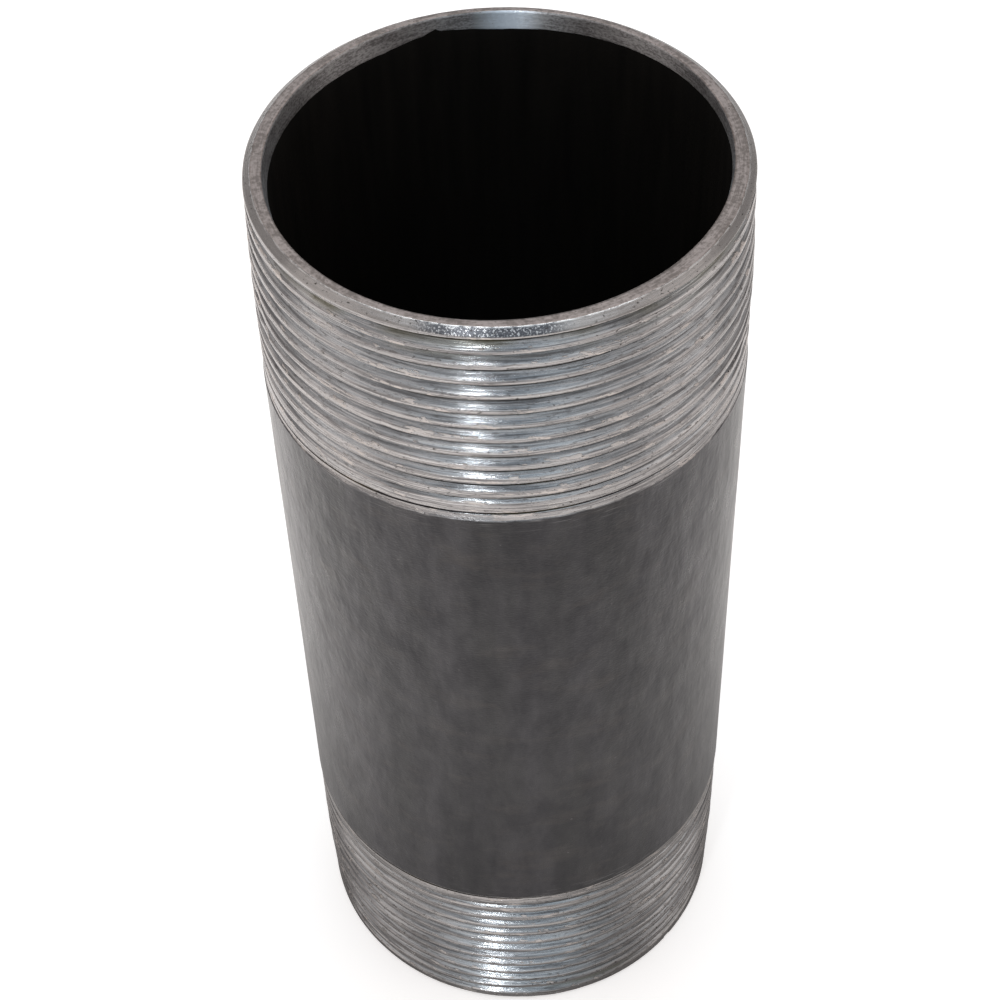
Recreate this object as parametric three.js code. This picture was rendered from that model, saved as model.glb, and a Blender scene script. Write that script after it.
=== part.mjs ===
import * as THREE from 'three';
import { mergeVertices } from 'three/addons/utils/BufferGeometryUtils.js';

// Two-inch welded steel pipe nipple with a taper pipe thread cut on both ends.
// Millimetres. The origin is the centre of the bottom end face and +Z runs along the pipe.

// Pipe
const length = 139.7;
const outsideRadius = 60.325 / 2;
const wall = 3.05;
const boreRadius = outsideRadius - wall;
const boreOvality = 0.36;
const boreLongAxis = THREE.MathUtils.degToRad(73);

// Taper pipe thread: 60 degree form, 11.5 threads per inch, 1 in 16 on the diameter
const pitch = 25.4 / 11.5;
const taper = 1 / 32;
const threadDepth = 0.8 * pitch;
const pitchRadiusAtEnd = 57.633 / 2;
const crestRadiusAtEnd = pitchRadiusAtEnd + threadDepth / 2;
const rootRadiusAtEnd = pitchRadiusAtEnd - threadDepth / 2;
const flankSlope = Math.tan(THREE.MathUtils.degToRad(30));
const overrun = 1.2 * pitch;
const fullDepthLength = 19.215 + overrun;
const threadLength = 26.878 + overrun;

// Distance from each end face to a groove bottom, measured at angle zero, +X
const topGrooveStart = 1.28;
const bottomGrooveStart = 0.95;

// The groove rises out of the metal where its bottom comes nearer the end face than this
const leadInStart = 0.95;
const leadInEnd = 1.6;

// Faced and chamfered ends, with the bore reamed deeper on one side
const faceOuterRadius = 28.7;
const chamferSlope = 1.45;
const outerChamferDepth = (crestRadiusAtEnd - faceOuterRadius) / chamferSlope;
const reamSlope = 0.25;
const reamDepth = 1.6;
const reamTilt = 0.85;
const reamTiltAngle = THREE.MathUtils.degToRad(122);

// Longitudinal weld seam in the bore: the strip edges lift outwards and meet at a scarfed notch
const seamAngle = THREE.MathUtils.degToRad(105.2);
const seamStep = THREE.MathUtils.degToRad(0.7);
const seamNotchWidth = THREE.MathUtils.degToRad(3.5);
const seamFlare = THREE.MathUtils.degToRad(15);
const seamLift = 0.17;
const seamNotch = 0.1;

// Fineness of the facets
const evenColumns = 40;
const mergeDistance = 0.02;
const weldDistance = 0.001;

const clamp = THREE.MathUtils.clamp;

// Radius of the thread crests, which follow the taper until it reaches the pipe's own surface.
function crestRadius(fromEnd) {
  return Math.min(crestRadiusAtEnd + taper * fromEnd, outsideRadius);
}

// Radius of the groove bottom, which follows the taper and rises to the crests at both its ends.
function rootRadius(fromEnd) {
  const tapered = rootRadiusAtEnd + taper * Math.min(fromEnd, fullDepthLength);
  const leadIn = clamp((leadInEnd - fromEnd) / (leadInEnd - leadInStart), 0, 1);
  const runOut = clamp((fromEnd - fullDepthLength) / (threadLength - fullDepthLength), 0, 1);
  return THREE.MathUtils.lerp(tapered, crestRadius(fromEnd), Math.max(leadIn, runOut * runOut));
}

// Half the groove's width where it opens at the crests.
function grooveHalfWidth(fromEnd) {
  return (crestRadius(fromEnd) - rootRadius(fromEnd)) * flankSlope;
}

// Distance from the end face to the groove bottom of one turn. Both ends are right-handed.
function groovePlace(end, turn, angle) {
  const advance = (pitch * angle) / (2 * Math.PI);
  return end.start + turn * pitch + (end.top ? -advance : advance);
}

// Radius of the outer surface at a distance from an end face, groove and chamfer included.
function surfaceRadius(end, fromEnd, angle) {
  const turn = Math.round((fromEnd - groovePlace(end, 0, angle)) / pitch);
  const place = groovePlace(end, turn, angle);
  const groove = rootRadius(place) + Math.abs(fromEnd - place) / flankSlope;
  const chamfer = faceOuterRadius + chamferSlope * fromEnd;
  return Math.min(groove, crestRadius(fromEnd), chamfer);
}

// Distances from the end face at which the outer surface has a corner: three rings across
// the chamfer, then both edges and the bottom of every turn of the groove, then the last thread.
function threadCorners(end, angle) {
  const chamferCorners = [0, outerChamferDepth / 2, outerChamferDepth];
  const grooveCorners = [];
  const turns = Math.ceil(threadLength / pitch) + 1;
  for (let turn = -2; turn <= turns; turn += 1) {
    const index = end.top ? turn : turn - 1;
    const place = groovePlace(end, index, angle);
    const half = grooveHalfWidth(clamp(place, 0, threadLength));
    grooveCorners.push(place - half, place, place + half);
  }
  grooveCorners.push(threadLength);
  return [
    ...chamferCorners,
    ...grooveCorners.map((corner) => clamp(corner, outerChamferDepth, threadLength)),
  ];
}

// Radius of the slightly oval bore, without its seam.
function ovalBoreRadius(angle) {
  return boreRadius + boreOvality * Math.cos(2 * (angle - boreLongAxis));
}

// Radius of the bore with the seam's lift and notch.
function boreRadiusAt(angle) {
  const offset = angle - seamAngle;
  const lift = seamLift * Math.max(0, 1 - Math.abs(offset) / seamFlare);
  const side = offset < 0 ? seamStep : seamNotchWidth;
  const notch = seamNotch * Math.max(0, 1 - Math.abs(offset) / side);
  return ovalBoreRadius(angle) + lift + notch;
}

// Inner radius of the end face, where the ream starts.
function faceInnerRadius(angle) {
  return ovalBoreRadius(angle) + reamSlope * (reamDepth + reamTilt * Math.cos(angle - reamTiltAngle));
}

// Angles of the columns of vertices: even steps, and two more at the seam's step.
function columnAngles() {
  const angles = [seamAngle - seamStep, seamAngle];
  for (let i = 0; i <= evenColumns; i += 1) {
    angles.push((i * 2 * Math.PI) / evenColumns);
  }
  return angles.sort((a, b) => a - b);
}

// One closed run of radius and height: up the outside, then down the bore.
function columnProfile(angle) {
  const bottomEnd = { top: false, start: bottomGrooveStart };
  const topEnd = { top: true, start: topGrooveStart };
  const bottom = threadCorners(bottomEnd, angle).map((s) => [surfaceRadius(bottomEnd, s, angle), s]);
  const top = threadCorners(topEnd, angle).map((s) => [surfaceRadius(topEnd, s, angle), length - s]);
  const bore = boreRadiusAt(angle);
  const faceInner = faceInnerRadius(angle);
  const ream = (faceInner - bore) / reamSlope;
  const inside = [
    [faceInner, length],
    [bore, length - ream],
    [bore, ream],
    [faceInner, 0],
  ];
  const profile = [...bottom, ...top.reverse(), ...inside];
  for (let i = 1; i < bottom.length + top.length; i += 1) {
    if (profile[i][1] - profile[i - 1][1] < mergeDistance) {
      profile[i] = profile[i - 1];
    }
  }
  return profile;
}

// Skin the columns with triangles, weld the corners that meet and drop the collapsed triangles.
function skinColumns(angles) {
  const columns = angles.map((angle) => columnProfile(angle));
  const rows = columns[0].length;
  const positions = [];
  columns.forEach((column, i) => {
    column.forEach(([radius, z]) => {
      positions.push(radius * Math.cos(angles[i]), radius * Math.sin(angles[i]), z);
    });
  });
  const triangles = [];
  for (let i = 0; i < columns.length - 1; i += 1) {
    for (let j = 0; j < rows; j += 1) {
      const above = (j + 1) % rows;
      const a = i * rows + j;
      const b = (i + 1) * rows + j;
      const c = (i + 1) * rows + above;
      const d = i * rows + above;
      triangles.push(a, b, c, a, c, d);
    }
  }
  const loose = new THREE.BufferGeometry();
  loose.setAttribute('position', new THREE.Float32BufferAttribute(positions, 3));
  loose.setIndex(triangles);
  const welded = mergeVertices(loose, weldDistance);
  const kept = [];
  for (let t = 0; t < welded.index.count; t += 3) {
    const [a, b, c] = [0, 1, 2].map((corner) => welded.index.getX(t + corner));
    if (a !== b && b !== c && c !== a) {
      kept.push(a, b, c);
    }
  }
  welded.setIndex(kept);
  welded.computeVertexNormals();
  return welded;
}

function makePipeNipple() {
  const steel = new THREE.MeshStandardMaterial({ color: 0x5c5c60, roughness: 0.45, metalness: 0.9 });
  steel.flatShading = true;
  const mesh = new THREE.Mesh(skinColumns(columnAngles()), steel);
  mesh.name = 'pipe_nipple';
  return mesh;
}

const nipple = new THREE.Group();
nipple.add(makePipeNipple());

export default nipple;
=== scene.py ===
"""Two-inch black steel pipe nipple: the fine mesh, its materials and a plain studio around it.

Lengths are millimetres until the mesh is made, which is in metres like the frame.
"""
import math

import bpy
import numpy as np
from mathutils import Matrix, Vector


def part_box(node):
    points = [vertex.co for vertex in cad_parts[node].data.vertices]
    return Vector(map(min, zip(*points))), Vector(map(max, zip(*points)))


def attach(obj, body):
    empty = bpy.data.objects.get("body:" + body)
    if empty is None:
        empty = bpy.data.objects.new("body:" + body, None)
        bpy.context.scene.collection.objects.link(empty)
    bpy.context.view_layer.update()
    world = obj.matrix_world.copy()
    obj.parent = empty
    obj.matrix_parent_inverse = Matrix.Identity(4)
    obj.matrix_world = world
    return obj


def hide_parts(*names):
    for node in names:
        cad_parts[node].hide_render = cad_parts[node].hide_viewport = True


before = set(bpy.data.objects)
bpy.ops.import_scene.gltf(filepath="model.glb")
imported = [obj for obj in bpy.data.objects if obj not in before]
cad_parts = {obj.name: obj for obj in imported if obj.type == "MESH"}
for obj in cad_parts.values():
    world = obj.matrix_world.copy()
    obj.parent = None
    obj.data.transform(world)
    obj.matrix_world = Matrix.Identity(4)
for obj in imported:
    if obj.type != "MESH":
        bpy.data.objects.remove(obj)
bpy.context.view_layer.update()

MM = 0.001
NODE = "pipe_nipple"
low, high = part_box(NODE)

# Pipe
OUTSIDE = (high.x - low.x) / 2 / MM
LENGTH = (high.z - low.z) / MM
WALL = 3.05
BORE = OUTSIDE - WALL
BORE_OVALITY = 0.36
BORE_LONG_AXIS = math.radians(73)
BODY_WAVE = 0.03
BODY_WAVE_LENGTH = 11
BODY_WAVE_SWAY = 3
BODY_WAVE_FADE = 8

# Taper thread, 60 degree form
PITCH = 25.4 / 11.5
TAPER = 1 / 32
DEPTH = 0.8 * PITCH
PITCH_RADIUS = 57.633 / 2
CREST_AT_END = PITCH_RADIUS + DEPTH / 2
ROOT_AT_END = PITCH_RADIUS - DEPTH / 2
FLANK = math.tan(math.radians(30))
OVERRUN = 1.2 * PITCH
FULL_DEPTH = 19.215 + OVERRUN
THREAD = 26.878 + OVERRUN
LEDGE = 0.05
LEAD_IN_START = 0.95
LEAD_IN_END = 1.6
GROOVE_FILL = 0.35
ROOT_ROUND = 0.07
CREST_ROUND = 0.2
SHALLOWEST = 0.3

# Wear of the crests: each kind of noise has its waves per turn and its starting point
CREST_WEAR = 0.09
CREST_WAVE = 0.05
CREST_WAVES = (40, 300)
TEAR_DEPTH = 0.16
TEAR_RANGE = (0.62, 0.85)
TEAR_PATCHES = (9, 500)
TEAR_GRAIN = (150, 900)

# Ends
FACE_OUTER = 28.7
CHAMFER_SLOPE = 1.45
CHAMFER = (CREST_AT_END - FACE_OUTER) / CHAMFER_SLOPE
CHAMFER_WAVE = 0.05
CHAMFER_WAVES = 283
REAM_SLOPE = 0.25
REAM_DEPTH = 1.6
REAM_TILT = 0.85
REAM_TILT_ANGLE = math.radians(122)
REAM_WAVE = 0.015
REAM_WAVES = 188

# Weld seam in the bore
SEAM = math.radians(105.2)
SEAM_STEP = math.radians(0.7)
SEAM_NOTCH_WIDTH = math.radians(3.5)
SEAM_FLARE = math.radians(15)
SEAM_LIFT = 0.17
SEAM_NOTCH = 0.1
SEAM_WAVE = 0.05
SEAM_WAVE_LENGTH = 9

# Fineness of the mesh
COLUMNS = 512
GROOVE_STOPS = (0.06, 0.15, 0.35, 0.6, 0.82, 0.94, 1.0)
CHAMFER_ROWS = 11
BODY_ROWS = 40
BORE_ROWS = 30
REAM_ROWS = 6
FACE_ROWS = 5
WELD = 0.012
MERGE = 0.002

# Where the grooves start at each end, which way they climb, and the seed of their wear
TOP = {"sign": -1, "start": 1.28, "seed": 3}
BOTTOM = {"sign": 1, "start": 0.95, "seed": 8}
SEAM_SEED, BODY_SEED, REAM_SEED = 21, 31, 41

# Zones of the section, in the order of the pipe's materials
SKIN, FACE, REAM, HOLE = range(4)


def smoothstep(lo, hi, x):
    t = np.clip((x - lo) / (hi - lo), 0, 1)
    return t * t * (3 - 2 * t)


def smooth_min(a, b, width):
    h = np.clip(0.5 + 0.5 * (b - a) / width, 0, 1)
    return b * (1 - h) + a * h - width * h * (1 - h)


def value_noise(x, seed, cells=4096):
    """Smooth noise from 0 to 1 along a line."""
    table = np.random.default_rng(seed).random(cells)
    base = np.floor(x).astype(int)
    t = x - base
    t = t * t * (3 - 2 * t)
    return table[base % cells] * (1 - t) + table[(base + 1) % cells] * t


def ring_noise(angle, per_turn, seed):
    """Smooth noise from 0 to 1 that joins up round a circle."""
    return value_noise(angle / (2 * math.pi) * per_turn, seed, per_turn)


def thread_noise(along, kind, seed):
    """Smooth noise from 0 to 1 along the thread, which is measured in turns."""
    per_turn, start = kind
    return value_noise(along * per_turn + start, seed)


# ---------------------------------------------------------------- shape

def crest_radius(s):
    return np.minimum(CREST_AT_END + TAPER * s, OUTSIDE)


def root_radius(s):
    tapered = ROOT_AT_END + GROOVE_FILL + TAPER * np.minimum(s, FULL_DEPTH)
    lead_in = np.clip((LEAD_IN_END - s) / (LEAD_IN_END - LEAD_IN_START), 0, 1)
    run_out = np.clip((s - FULL_DEPTH) / (THREAD - FULL_DEPTH), 0, 1)
    return tapered + (crest_radius(s) - tapered) * np.maximum(lead_in, run_out ** 2)


def groove_place(end, turn, angle):
    """Distance from an end face to the middle of a groove, where turn 0 is the first groove."""
    return end["start"] + turn * PITCH + end["sign"] * PITCH * angle / (2 * math.pi)


def turns_from_end(end, s, angle):
    """Distance s from an end face as turns of the thread, counted from the first groove."""
    return (s - groove_place(end, 0, angle)) / PITCH


def worn_crest(end, s, angle):
    """Radius of the crests, a little uneven and with torn patches."""
    seed = end["seed"]
    along = np.floor(turns_from_end(end, s, angle)) + end["sign"] * angle / (2 * math.pi)
    patches = smoothstep(*TEAR_RANGE, thread_noise(along, TEAR_PATCHES, seed))
    torn = patches * thread_noise(along, TEAR_GRAIN, seed + 1)
    waves = thread_noise(along, CREST_WAVES, seed + 2)
    return crest_radius(s) - CREST_WEAR - TEAR_DEPTH * torn - CREST_WAVE * waves


def thread_surface(end, s, angle):
    """Radius, and share of the way from groove to crest, at distances s from an end face."""
    place = groove_place(end, np.round(turns_from_end(end, s, angle)), angle)
    round_off = np.sqrt((s - place) ** 2 + ROOT_ROUND ** 2) - ROOT_ROUND
    groove = root_radius(place) + round_off / FLANK
    crest = worn_crest(end, s, angle)
    radius = smooth_min(groove, crest, CREST_ROUND)
    uneven = CHAMFER_WAVE * ring_noise(angle, CHAMFER_WAVES, end["seed"] + 5)
    bevel = FACE_OUTER + CHAMFER_SLOPE * s - uneven * np.clip(1 - s / CHAMFER, 0, 1)
    radius = np.minimum(smooth_min(radius, bevel, CREST_ROUND), OUTSIDE)
    radius = np.where(s >= THREAD, OUTSIDE, radius)
    full = np.maximum(crest_radius(s) - root_radius(place), SHALLOWEST)
    return radius, np.clip(1 - (crest - groove) / full, 0, 1)


def thread_rows(end, angle):
    """Distances from the end face of every row of vertices, from the face to the last thread."""
    rows = [np.full_like(angle, s) for s in np.linspace(0, CHAMFER, CHAMFER_ROWS)]
    for turn in range(-2, math.ceil(THREAD / PITCH) + 2):
        index = turn if end["sign"] < 0 else turn - 1
        place = groove_place(end, index, angle)
        inside = np.clip(place, 0, THREAD)
        half = (crest_radius(inside) - root_radius(inside)) * FLANK
        offsets = [-k * half for k in reversed(GROOVE_STOPS)] + [0 * half]
        offsets += [k * half for k in GROOVE_STOPS] + [np.full_like(half, PITCH / 2)]
        rows += [np.clip(place + offset, CHAMFER, THREAD - LEDGE) for offset in offsets]
    rows += [np.full_like(angle, s) for s in (THREAD - LEDGE, THREAD, THREAD + LEDGE)]
    return np.array(rows)


def oval_bore(angle):
    return BORE + BORE_OVALITY * np.cos(2 * (angle - BORE_LONG_AXIS))


def bore_radius(angle, z):
    """Radius of the bore, lifted on both sides of the weld seam and notched along it."""
    offset = (angle - SEAM + math.pi) % (2 * math.pi) - math.pi
    wander = SEAM_WAVE * (value_noise(z / SEAM_WAVE_LENGTH, SEAM_SEED) - 0.5)
    lift = SEAM_LIFT * np.clip(1 - np.abs(offset) / SEAM_FLARE, 0, 1)
    side = np.where(offset < 0, SEAM_STEP, SEAM_NOTCH_WIDTH)
    notch = SEAM_NOTCH * np.clip(1 - np.abs(offset) / side, 0, 1)
    return oval_bore(angle) + lift + (1 + wander) * notch


def face_outer(end, angle):
    """Radius of the outer edge of an end face."""
    return thread_surface(end, 0 * angle, angle)[0]


def face_inner(angle):
    """Radius of the inner edge of either end face, where the ream begins."""
    ragged = REAM_WAVE * (ring_noise(angle, REAM_WAVES, REAM_SEED) - 0.5)
    depth = REAM_DEPTH + REAM_TILT * np.cos(angle - REAM_TILT_ANGLE)
    return oval_bore(angle) + REAM_SLOPE * depth + ragged


def stretch(zone, radius, z, from_end=0.0, height=1.0, phase=0.0):
    """One stretch of the section: rows of radius, z and the shader's masks, and their zone."""
    fields = np.broadcast_arrays(radius, z, from_end, height, phase)
    return np.array(fields), np.full(len(radius), zone)


def thread_stretch(end, angle):
    """A thread, with its rows going up the pipe."""
    s = thread_rows(end, angle)
    if end is TOP:
        s = s[::-1]
    radius, height = thread_surface(end, s, angle)
    z = LENGTH - s if end is TOP else s
    phase = 2 * math.pi * turns_from_end(end, s, angle)
    return stretch(SKIN, radius, z, s, height, phase)


def body_stretch(angle):
    """The pipe between the threads, slightly wavy."""
    z = np.linspace(THREAD + LEDGE, LENGTH - THREAD - LEDGE, BODY_ROWS + 2)[1:-1, None] + 0 * angle
    nearest = np.minimum(z, LENGTH - z)
    place = z / BODY_WAVE_LENGTH + BODY_WAVE_SWAY * np.sin(angle)
    wave = BODY_WAVE * (value_noise(place, BODY_SEED) - 0.5)
    fade = smoothstep(0, BODY_WAVE_FADE, nearest - THREAD)
    radius = OUTSIDE - BODY_WAVE / 2 + wave * fade + BODY_WAVE / 2 * (1 - fade)
    return stretch(SKIN, radius, z, nearest)


def across(start, end, rows):
    """Rows from one place to another, leaving out the first, which is there already."""
    return start + (end - start) * np.linspace(0, 1, rows + 1)[1:, None]


def pipe_grid(angle):
    """Every row round the closed section: up the outside, over the top and down the bore."""
    outer_bottom = face_outer(BOTTOM, angle)
    outer_top = face_outer(TOP, angle)
    inner = face_inner(angle)
    bore_top = bore_radius(angle, LENGTH)
    bore_bottom = bore_radius(angle, 0.0)
    ream_top = LENGTH - (inner - bore_top) / REAM_SLOPE
    ream_bottom = (inner - bore_bottom) / REAM_SLOPE
    bore = across(ream_top, ream_bottom, BORE_ROWS + 1)
    stretches = [
        thread_stretch(BOTTOM, angle),
        body_stretch(angle),
        thread_stretch(TOP, angle),
        stretch(FACE, across(outer_top, inner, FACE_ROWS), LENGTH),
        stretch(REAM, across(inner, bore_top, REAM_ROWS), across(LENGTH, ream_top, REAM_ROWS)),
        stretch(HOLE, bore_radius(angle, bore), bore),
        stretch(REAM, across(bore_bottom, inner, REAM_ROWS), across(ream_bottom, 0, REAM_ROWS)),
        stretch(FACE, across(inner, outer_bottom, FACE_ROWS)[:-1], 0),
    ]
    fields, zones = zip(*stretches)
    return np.concatenate(fields, axis=1), np.concatenate(zones)


def weld_rows(grid, zone):
    """Pulls each row of the outside onto the one below wherever they nearly touch."""
    z = grid[1]
    for i in range(1, np.sum(zone == SKIN)):
        close = z[i] - z[i - 1] < WELD
        grid[:, i] = np.where(close, grid[:, i - 1], grid[:, i])


def grid_faces(vertex, strip_zone):
    """Corners and zone of each face between a row and the next, less the ones with no area."""
    after = np.roll(vertex, -1, axis=0)
    quads = np.stack([vertex[:, :-1], vertex[:, 1:], after[:, 1:], after[:, :-1]], -1).reshape(-1, 4)
    zones = np.repeat(strip_zone, vertex.shape[1] - 1)
    faces, face_zones = [], []
    for quad, zone in zip(quads.tolist(), zones.tolist()):
        corners = [v for k, v in enumerate(quad) if v != quad[k - 1]]
        if len(set(corners)) == len(corners) and len(corners) > 2:
            faces.append(corners)
            face_zones.append(zone)
    return faces, face_zones


def make_pipe():
    angle = np.linspace(0, 2 * math.pi, COLUMNS + 1)
    grid, zone = pipe_grid(angle)
    weld_rows(grid, zone)
    radius, z, from_end, height, phase = grid
    points = np.stack([radius * np.cos(angle), radius * np.sin(angle), z], -1).reshape(-1, 3)
    keys = np.round(points / MERGE).astype(np.int64)
    _, first, vertex = np.unique(keys, axis=0, return_index=True, return_inverse=True)
    faces, face_zones = grid_faces(vertex.reshape(z.shape), np.append(zone[1:], FACE))
    mesh = bpy.data.meshes.new("nipple_pipe")
    mesh.from_pydata((points[first] * MM).tolist(), [], faces)
    mesh.polygons.foreach_set("material_index", np.array(face_zones, np.int32))
    mesh.polygons.foreach_set("use_smooth", np.ones(len(faces), bool))
    masks = {
        "from_end": from_end,
        "height": height,
        "phase_cos": np.cos(phase),
        "phase_sin": np.sin(phase),
    }
    for name, values in masks.items():
        attribute = mesh.attributes.new(name, "FLOAT", "POINT")
        attribute.data.foreach_set("value", values.reshape(-1)[first].astype(np.float32))
    mesh.update()
    pipe = bpy.data.objects.new("nipple_pipe", mesh)
    bpy.context.scene.collection.objects.link(pipe)
    return pipe


# ---------------------------------------------------------------- shader nodes

class Nodes:
    """A node tree, with short calls for the nodes used here. Colours are red, green and blue."""

    def __init__(self, owner, output):
        owner.use_nodes = True
        self.tree = owner.node_tree
        self.tree.nodes.clear()
        self.surface = self.add(output).inputs["Surface"]

    def add(self, kind, inputs=None, **settings):
        node = self.tree.nodes.new(kind)
        for key, value in settings.items():
            setattr(node, key, value)
        for key, value in (inputs or {}).items():
            self.put(node.inputs[key], value)
        return node

    def put(self, socket, value):
        if isinstance(value, bpy.types.NodeSocket):
            self.tree.links.new(value, socket)
        elif socket.type == "RGBA":
            socket.default_value = (*value, 1)
        else:
            socket.default_value = value

    def math(self, operation, a, b=0.0):
        return self.add("ShaderNodeMath", {0: a, 1: b}, operation=operation).outputs[0]

    def plus(self, a, b):
        return self.math("ADD", a, b)

    def minus(self, a, b):
        return self.math("SUBTRACT", a, b)

    def times(self, first, *others):
        for other in others:
            first = self.math("MULTIPLY", first, other)
        return first

    def distance(self, a, b):
        return self.math("SQRT", self.plus(self.times(a, a), self.times(b, b)))

    def vector(self, operation, inputs):
        return self.add("ShaderNodeVectorMath", inputs, operation=operation)

    def split(self, vector):
        return self.add("ShaderNodeSeparateXYZ", {0: vector}).outputs

    def attribute(self, name):
        return self.add("ShaderNodeAttribute", attribute_name=name).outputs["Fac"]

    def remap(self, value, lo, hi, out_lo=0.0, out_hi=1.0):
        inputs = {"Value": value, "From Min": lo, "From Max": hi, "To Min": out_lo, "To Max": out_hi}
        return self.add("ShaderNodeMapRange", inputs, clamp=True).outputs[0]

    def mix(self, share, a, b):
        return self.add("ShaderNodeMix", {0: share, 2: a, 3: b}, data_type="FLOAT").outputs[0]

    def blend(self, share, a, b, how="MIX"):
        settings = {"data_type": "RGBA", "blend_type": how}
        return self.add("ShaderNodeMix", {0: share, 6: a, 7: b}, **settings).outputs[2]

    def noise(self, x, y, z, w=None, detail=3.0, rough=0.5):
        place = self.add("ShaderNodeCombineXYZ", {0: x, 1: y, 2: z}).outputs[0]
        inputs = {"Vector": place, "Scale": 1.0, "Detail": detail, "Roughness": rough}
        if w is not None:
            inputs["W"] = w
        dimensions = "3D" if w is None else "4D"
        return self.add("ShaderNodeTexNoise", inputs, noise_dimensions=dimensions).outputs["Fac"]


class Surface(Nodes):
    """The nodes of a material that knows its place on the object, in millimetres."""

    def __init__(self, name):
        self.material = bpy.data.materials.new(name)
        super().__init__(self.material, "ShaderNodeOutputMaterial")
        coordinates = self.add("ShaderNodeTexCoord").outputs["Object"]
        place = self.vector("SCALE", {0: coordinates, "Scale": 1 / MM}).outputs[0]
        self.x, self.y, self.z = self.split(place)

    def spots(self, across, along, detail=3.0, rough=0.5):
        """Noise with so many waves per millimetre across the pipe and along it."""
        x = self.times(self.x, across)
        y = self.times(self.y, across)
        z = self.times(self.z, along)
        return self.noise(x, y, z, detail=detail, rough=rough)

    def bump(self, relief, depth, strength):
        inputs = {"Height": relief, "Distance": depth * MM, "Strength": strength}
        return self.add("ShaderNodeBump", inputs).outputs[0]

    def sheen(self, amount):
        """Shader inputs for highlights drawn out across the cutting lines round the pipe."""
        tangent = self.add("ShaderNodeTangent", direction_type="RADIAL", axis="Z").outputs[0]
        return {"Anisotropic": amount, "Anisotropic Rotation": 0.25, "Tangent": tangent}

    def finish(self, inputs):
        """Ends the material with one shader."""
        shader = self.add("ShaderNodeBsdfPrincipled", inputs)
        self.put(self.surface, shader.outputs[0])
        return self.material


# ---------------------------------------------------------------- materials

CUT_STEEL = ((0.53, 0.555, 0.58), (0.67, 0.69, 0.71))
CREST_STEEL = ((0.67, 0.62, 0.595), (0.54, 0.50, 0.485))
LINE = (0.17, 0.17, 0.18)
PALE_HAIR = (0.80, 0.79, 0.79)
DARK_HAIR = (0.13, 0.125, 0.13)
NICK = (0.14, 0.13, 0.125)
TORN_STEEL = (0.84, 0.77, 0.73)
CHAMFER_STEEL = (0.42, 0.40, 0.39)
# Painted dark reflection on the front of the bevel, and the colour of its painted glints and edge
# highlight
PAINTED_DARK_REFLECTION = (0.055, 0.06, 0.075)
GLINT = (0.8, 0.78, 0.77)
# Groove colours: partly dirt, partly painted shade
GROOVE_DIRT_AND_SHADE = (0.022, 0.020, 0.020)
OILY_DIRT_AND_SHADE = (0.045, 0.034, 0.014)
GROOVE_ROOT = (0.24, 0.23, 0.22)
OIL_STAIN = (0.20, 0.18, 0.09)
SPECK = (0.03, 0.022, 0.018)
# Colour of the painted shade on the sides and the lower thread
SIDE_SHADE = (0.02, 0.018, 0.016)
LACQUER = ((0.006, 0.005, 0.0065), (0.028, 0.025, 0.030))
LACQUER_MOTTLE = (0.010, 0.009, 0.013)
LACQUER_SMEAR = (0.045, 0.037, 0.034)
LACQUER_MARK = (0.11, 0.10, 0.10)
LACQUER_SCORE = (0.20, 0.19, 0.19)
FACE_STEEL = ((0.22, 0.183, 0.165), (0.41, 0.345, 0.32))
REAM_STEEL = ((0.20, 0.19, 0.19), (0.44, 0.43, 0.43))
FACE_SPECK = (0.04, 0.035, 0.03)
# Colour of the painted highlight on the ream
PAINTED_HIGHLIGHT = (0.86, 0.92, 1.0)
# Mill scale colour, darkened to near black as painted shade of the bore
MILL_SCALE_AND_SHADE = ((0.002, 0.002, 0.002), (0.010, 0.0085, 0.007))

# Where the painted dark reflection, painted highlight and painted shade are on the pipe, each with its
# faint edge and its full strength
DARK_REFLECTION_X, DARK_REFLECTION_Y = -1.5, -29.2
DARK_REFLECTION_REACH = (10.5, 7.5)
PAINTED_HIGHLIGHT_X = 1.6
PAINTED_HIGHLIGHT_REACH = (4.5, 1.0)
SIDE_SHADE_X = -4.0
SIDE_SHADE_REACH = (3.0, 16.0)
SIDE_SHADE_BELOW = (40.0, 30.0)
SIDE_SHADE_SIDES = (8.0, 20.0)


class Outside(Surface):
    """The outside's nodes, with the values that its layers share."""

    def __init__(self):
        super().__init__("nipple_outside")
        self.height = self.attribute("height")
        self.from_end = self.attribute("from_end")
        self.lines = self.turned(3.2, 28.0)
        self.hairs = self.turned(6.5, 9.0)
        self.nicks = self.turned(6.5, 1.1)
        self.on_chamfer = self.remap(self.from_end, CHAMFER + 0.1, CHAMFER)
        self.torn = self.torn_share()
        self.oil = self.remap(self.spots(0.09, 0.09, detail=2), 0.45, 0.6)

    def turned(self, fine, length):
        """Noise drawn out along the thread: fine is per mm across it, length is mm along it."""
        ring = PITCH / (2 * math.pi) * fine
        return self.noise(
            self.plus(self.math("DIVIDE", self.x, length), self.times(self.z, 0.9)),
            self.times(self.attribute("phase_cos"), ring),
            self.times(self.attribute("phase_sin"), ring),
            self.math("DIVIDE", self.y, length),
            rough=0.6,
        )

    def torn_share(self):
        """How torn the metal is: in patches on the crests, and never on the chamfer."""
        patches = self.plus(self.turned(1.2, 3.0), self.times(self.nicks, 0.35))
        crests = self.plus(self.height, self.times(self.nicks, 0.6))
        torn = self.times(self.remap(patches, 0.775, 0.80), self.remap(crests, 1.08, 1.14))
        return self.times(torn, self.minus(1.0, self.on_chamfer))


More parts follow.
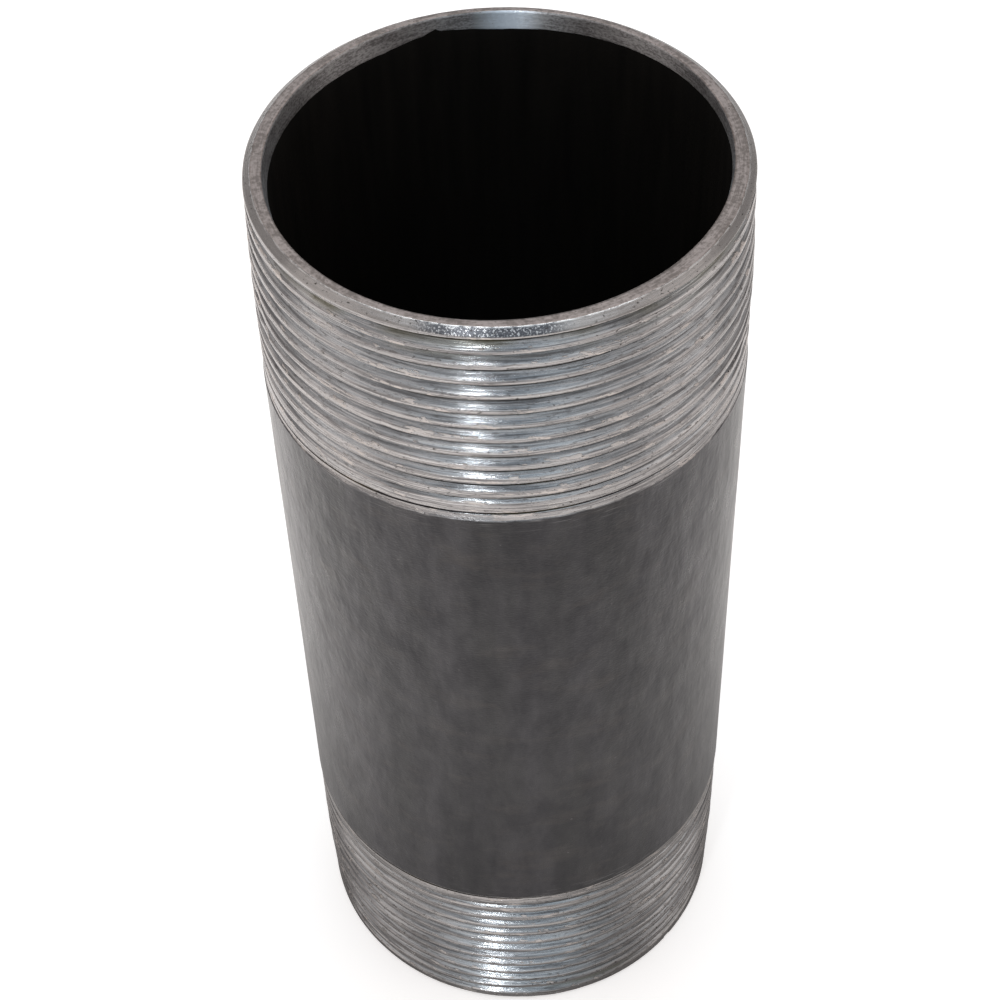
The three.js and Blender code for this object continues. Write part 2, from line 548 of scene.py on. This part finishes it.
def cut_steel(n):
    """Bright steel, duller on the crests, with light and dark lines along the thread."""
    tone = n.spots(0.09, 0.25, detail=2)
    crests = n.plus(n.height, n.times(n.plus(n.hairs, n.nicks), 0.25))
    color = n.blend(tone, *CUT_STEEL)
    color = n.blend(n.remap(crests, 1.0, 1.22, 0, 0.75), color, n.blend(tone, *CREST_STEEL))
    color = n.blend(n.remap(n.lines, 0.42, 0.60, 0, 0.55), color, LINE)
    color = n.blend(n.remap(n.hairs, 0.52, 0.60, 0, 0.55), color, PALE_HAIR)
    color = n.blend(n.remap(n.hairs, 0.46, 0.38, 0, 0.65), color, DARK_HAIR)
    color = n.blend(n.remap(n.nicks, 0.57, 0.65, 0, 0.5), color, NICK)
    return n.blend(n.times(n.torn, 0.8), color, TORN_STEEL)


def add_chamfer(n, color):
    """The bevel at the end: a painted dark reflection at the front with painted glints in it, and a
    painted highlight along the edge.
    """
    # Painted dark reflection at the front of the bevel
    from_dark_reflection = n.distance(n.minus(n.x, DARK_REFLECTION_X), n.minus(n.y, DARK_REFLECTION_Y))
    dark_reflection = n.remap(n.plus(from_dark_reflection, n.times(n.nicks, 3.0)), *DARK_REFLECTION_REACH)
    color = n.blend(n.times(n.on_chamfer, 0.85), color, n.blend(dark_reflection, CHAMFER_STEEL, PAINTED_DARK_REFLECTION))
    # Painted glints inside it, and a painted highlight along the outer edge
    sparkle = n.spots(4.5, 3.0, rough=0.6)
    glints = n.times(n.on_chamfer, dark_reflection, n.remap(sparkle, 0.54, 0.60, 0, 0.7))
    edge = n.times(n.remap(n.from_end, 0.14, 0.03), n.remap(n.nicks, 0.42, 0.52))
    return n.blend(n.math("MAXIMUM", edge, glints), color, GLINT)


def add_groove_dirt_and_shade(n, color):
    """Dark colour low in the grooves, partly dirt and partly painted shade, except at the very root,
    and in the shallow last ones.
    """
    dirt_and_shade = n.blend(n.oil, GROOVE_DIRT_AND_SHADE, OILY_DIRT_AND_SHADE)
    dirt_and_shade = n.blend(n.remap(n.height, 0.22, 0.08, 0, 0.8), dirt_and_shade, GROOVE_ROOT)
    late = n.remap(n.from_end, 18.0, 29.0, 0, 0.15)
    ragged = n.minus(n.plus(n.height, n.times(n.nicks, 0.12)), late)
    middle = n.plus(n.attribute("phase_cos"), n.times(n.nicks, 0.04))
    shallow = n.times(n.remap(middle, 0.93, 0.975), n.remap(n.from_end, 17.0, 21.0))
    return n.blend(n.math("MAXIMUM", n.remap(ragged, 0.40, 0.32), shallow), color, dirt_and_shade)


def add_stains(n, color):
    """Cutting oil in the first groove, and dark specks on the crests."""
    first_groove = n.times(n.remap(n.from_end, 5.0, 2.5), n.remap(n.height, 0.95, 0.5))
    color = n.blend(n.times(first_groove, n.oil, 0.6), color, OIL_STAIN)
    specks = n.remap(n.spots(2.2, 4.0, detail=2), 0.66, 0.71)
    return n.blend(n.times(specks, n.remap(n.height, 0.7, 0.95, 0, 0.85)), color, SPECK)


def paint_side_shade(n, color):
    """Painted shade: darker steel towards the sides, and more so on the lower thread."""
    off_centre = n.math("ABSOLUTE", n.minus(n.x, SIDE_SHADE_X))
    lower = n.times(n.remap(n.z, *SIDE_SHADE_BELOW), n.remap(off_centre, *SIDE_SHADE_REACH, 0, 0.46))
    sides = n.remap(n.math("ABSOLUTE", n.x), *SIDE_SHADE_SIDES, 0, 0.24)
    return n.blend(n.math("MAXIMUM", lower, sides), color, SIDE_SHADE)


def lacquer(n, mottle):
    """Lacquer over mill scale: streaks, smears, small marks and scores near the threads."""
    streaks = n.spots(0.16, 0.025, detail=4, rough=0.55)
    color = n.blend(n.remap(streaks, 0.35, 0.65), *LACQUER)
    color = n.blend(n.remap(mottle, 0.4, 0.7, 0, 0.7), color, LACQUER_MOTTLE)
    smears = n.spots(0.12, 0.35, detail=5, rough=0.65)
    color = n.blend(n.remap(smears, 0.52, 0.72, 0, 0.6), color, LACQUER_SMEAR)
    color = n.blend(n.remap(n.spots(1.2, 1.6), 0.72, 0.78, 0, 0.7), color, LACQUER_MARK)
    near_thread = n.remap(n.from_end, THREAD + 2.5, THREAD + 0.5)
    scores = n.remap(n.spots(0.2, 4.0), 0.58, 0.66, 0, 0.5)
    return n.blend(n.times(near_thread, scores), color, LACQUER_SCORE)


def steel_roughness(n):
    rough = n.mix(n.lines, 0.16, 0.28)
    rough = n.mix(n.times(n.torn, 0.8), rough, 0.6)
    return n.mix(n.on_chamfer, rough, 0.26)


def outside_relief(n, lacquered):
    """Height of the fine relief: cut hairs and nicks on the threads, a soft skin between."""
    cut = n.plus(n.times(n.hairs, 0.6), n.times(n.nicks, 0.12))
    cut = n.plus(cut, n.times(n.torn, 0.5))
    skin = n.plus(n.times(n.spots(2.0, 4.5), 0.5), n.times(n.spots(0.45, 0.22), 2.2))
    return n.mix(lacquered, cut, skin)


def outside_material():
    """Lacquered pipe between the threads and bright cut steel on them."""
    n = Outside()
    ragged = n.plus(n.from_end, n.times(n.spots(0.5, 2.0, detail=4), 0.5))
    lacquered = n.remap(ragged, THREAD + 0.1, THREAD + 0.35)
    mottle = n.spots(0.35, 0.16, detail=5, rough=0.6)
    steel = cut_steel(n)
    for layer in (add_chamfer, add_groove_dirt_and_shade, add_stains, paint_side_shade):
        steel = layer(n, steel)
    return n.finish({
        "Base Color": n.blend(lacquered, steel, lacquer(n, mottle)),
        "Metallic": n.mix(lacquered, 1.0, 0.0),
        "Roughness": n.mix(lacquered, steel_roughness(n), n.mix(mottle, 0.22, 0.36)),
        "Specular IOR Level": n.mix(n.remap(mottle, 0.35, 0.65), 0.60, 0.41),
        "Normal": n.bump(outside_relief(n, lacquered), 0.12, 0.8),
        **n.sheen(n.mix(lacquered, n.mix(n.torn, 1.0, 0.3), 0.0)),
    })


def faced_material(name, colors, rough, sheen=0.0, highlight_share=0.0):
    """Steel faced or reamed in a lathe, with fine rings, grain, specks and a painted highlight patch.
    """
    n = Surface(name)
    across = n.times(n.plus(n.distance(n.x, n.y), n.z), 5.0)
    rings = n.noise(across, n.times(n.x, 0.25), n.times(n.y, 0.25))
    grain = n.spots(2.5, 5.0)
    shade = n.plus(n.times(rings, 0.3), n.times(grain, 0.45))
    shade = n.plus(shade, n.times(n.spots(0.3, 0.6), 0.25))
    color = n.blend(n.remap(shade, 0.43, 0.57), *colors)
    color = n.blend(n.remap(grain, 0.68, 0.73, 0, 0.8), color, FACE_SPECK)
    # Painted highlight on the far side of the ream
    off_highlight = n.math("ABSOLUTE", n.minus(n.x, PAINTED_HIGHLIGHT_X))
    off_highlight = n.plus(off_highlight, n.times(n.minus(grain, 0.5), 3.0))
    highlight_mask = n.times(n.remap(off_highlight, *PAINTED_HIGHLIGHT_REACH, 0, highlight_share), n.remap(n.y, 0.0, 10.0))
    return n.finish({
        "Base Color": n.blend(highlight_mask, color, PAINTED_HIGHLIGHT),
        "Metallic": 1.0,
        "Roughness": n.mix(grain, rough - 0.06, rough + 0.06),
        "Normal": n.bump(shade, 0.1, 0.6),
        **n.sheen(sheen),
    })


def bore_material():
    """Dark mill scale inside the pipe, with streaks along it, its colour pushed to near black as
    painted shade of the bore.
    """
    n = Surface("nipple_bore")
    streaks = n.spots(0.6, 0.05, detail=4)
    return n.finish({
        "Base Color": n.blend(streaks, *MILL_SCALE_AND_SHADE),
        "Roughness": n.mix(streaks, 0.55, 0.75),
        "Specular IOR Level": 0.1,
        "Normal": n.bump(n.spots(1.5, 1.5, detail=4), 0.1, 0.6),
    })


# ---------------------------------------------------------------- studio

FLOOR_SIZE = 80
PAPER = (0.85, 0.84, 0.83)
PAPER_LIGHT = (1.0, 0.965, 0.945)
PAPER_GLOW = 0.5
BLACK = (0, 0, 0)
WHITE = (1, 1, 1)
COOL_LIGHT = (0.84, 0.93, 1.0)
WARM_LIGHT = (0.72, 0.675, 0.655)
CARD_CENTRE = (0.0, -0.39, 0.92)
CARD = (0.25, 0.27, 0.31)
ROOM_STRENGTH = 0.86
LIT_POINT = Vector((0, 0, LENGTH * MM * 0.6))

# Camera: distance from the pipe and above it in outside radii, and yaw, pitch and roll
CAMERA_AWAY = 6.6414
CAMERA_ABOVE = 5.3636
CAMERA_TURN = (0.381, -47.773, 2.088)
CAMERA_LENS = 79.76


def make_floor():
    """Paper that looks evenly pale to the camera. To the pipe it is a painted glow, dimmer close to it
    as a painted shadow, and brighter to the left and behind.
    """
    bpy.ops.mesh.primitive_plane_add(size=FLOOR_SIZE, location=(0, 0, 0))
    floor = bpy.context.object
    floor.name = "floor"
    n = Surface("floor_paper")
    seen = n.add("ShaderNodeLightPath").outputs["Is Camera Ray"]
    # Painted glow for the pipe to see: brighter to the left and behind, and dimmer close to the pipe as
    # a painted shadow
    sides = n.times(n.remap(n.x, -100, 100, 1.1, 0.85), n.remap(n.y, -100, 100, 0.95, 1.3))
    near = n.remap(n.distance(n.x, n.y), OUTSIDE, 2.6 * OUTSIDE, 0.24, 1.0)
    floor.data.materials.append(n.finish({
        "Base Color": n.blend(seen, BLACK, PAPER),
        "Roughness": 0.9,
        "Specular IOR Level": 0.0,
        "Emission Color": PAPER_LIGHT,
        "Emission Strength": n.mix(seen, n.times(near, sides), PAPER_GLOW),
    }))


def make_world():
    """Soft room light: cool in front and overhead, warm at the sides, dimmer near the floor.

    A dark card hangs in it for the pipe to reflect. The camera sees only a white backdrop.
    """
    world = bpy.data.worlds.new("studio")
    bpy.context.scene.world = world
    n = Nodes(world, "ShaderNodeOutputWorld")
    direction = n.add("ShaderNodeTexCoord").outputs["Generated"]
    x, _, z = n.split(direction)

    def ramp(value, *stops):
        node = n.add("ShaderNodeValToRGB", {"Fac": value})
        for element, (position, color) in zip(node.color_ramp.elements, stops):
            element.position = position
            element.color = (*color, 1)
        return node.outputs["Color"]

    def background(color, strength):
        return n.add("ShaderNodeBackground", {"Color": color, "Strength": strength}).outputs[0]

    tint = ramp(n.math("ABSOLUTE", x), (0.15, COOL_LIGHT), (0.6, WARM_LIGHT))
    level = ramp(z, (0.1, (0.5, 0.5, 0.5)), (0.6, WHITE))
    toward = n.vector("DOT_PRODUCT", {0: direction, 1: CARD_CENTRE}).outputs["Value"]
    card = ramp(toward, (0.978, WHITE), (0.990, CARD))
    color = n.blend(1.0, tint, level, "MULTIPLY")
    color = n.blend(1.0, color, card, "MULTIPLY")
    room = background(color, ROOM_STRENGTH)
    seen = n.add("ShaderNodeLightPath").outputs["Is Camera Ray"]
    either = n.add("ShaderNodeMixShader", {0: seen, 1: room, 2: background(WHITE, 1.0)})
    n.put(n.surface, either.outputs[0])


def area_light(name, azimuth, elevation, distance, size, power, color):
    """A soft box aimed at the upper half of the pipe, with azimuth from +X towards +Y in degrees."""
    a, e = math.radians(azimuth), math.radians(elevation)
    data = bpy.data.lights.new(name, "AREA")
    data.shape = "RECTANGLE"
    data.size, data.size_y = size
    data.energy = power
    data.color = color
    light = bpy.data.objects.new(name, data)
    bpy.context.scene.collection.objects.link(light)
    direction = Vector((math.cos(a) * math.cos(e), math.sin(a) * math.cos(e), math.sin(e)))
    light.location = LIT_POINT + direction * distance
    light.rotation_euler = (-direction).to_track_quat("-Z", "Y").to_euler()


def make_lights():
    area_light("key", -109, 52, 0.9, (0.02, 0.70), 0.75, (0.93, 0.97, 1.0))
    area_light("left", 190, 25, 0.9, (0.5, 0.7), 0.7, (1.0, 0.95, 0.92))
    area_light("right", -10, 25, 0.9, (0.5, 0.7), 0.8, (1.0, 0.95, 0.92))
    area_light("overhead", 90, 75, 1.0, (0.6, 0.4), 1.5, (0.95, 0.98, 1.0))


def make_camera():
    """Stands in front of the pipe and looks down into it."""
    yaw, pitch, roll = (math.radians(angle) for angle in CAMERA_TURN)
    turn = Matrix.Rotation(yaw, 3, "Z") @ Matrix.Rotation(pitch, 3, "X") @ Matrix.Rotation(roll, 3, "Y")
    right, forward, up = turn.col
    axes = Matrix((right, up, -forward)).transposed()
    place = Vector((0, -CAMERA_AWAY * OUTSIDE, LENGTH + CAMERA_ABOVE * OUTSIDE)) * MM
    data = bpy.data.cameras.new("camera")
    data.lens = CAMERA_LENS
    data.sensor_width = 36
    data.clip_start = 0.01
    camera = bpy.data.objects.new("camera", data)
    bpy.context.scene.collection.objects.link(camera)
    camera.matrix_world = Matrix.Translation(place) @ axes.to_4x4()
    bpy.context.scene.camera = camera


pipe = make_pipe()
for material in (
    outside_material(),
    faced_material("nipple_face", FACE_STEEL, rough=0.5),
    faced_material("nipple_ream", REAM_STEEL, rough=0.36, sheen=1.0, highlight_share=0.9),
    bore_material(),
):
    pipe.data.materials.append(material)
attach(pipe, "root")
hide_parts(NODE)

make_floor()
make_world()
make_lights()
make_camera()
bpy.context.scene.view_settings.view_transform = "Standard"
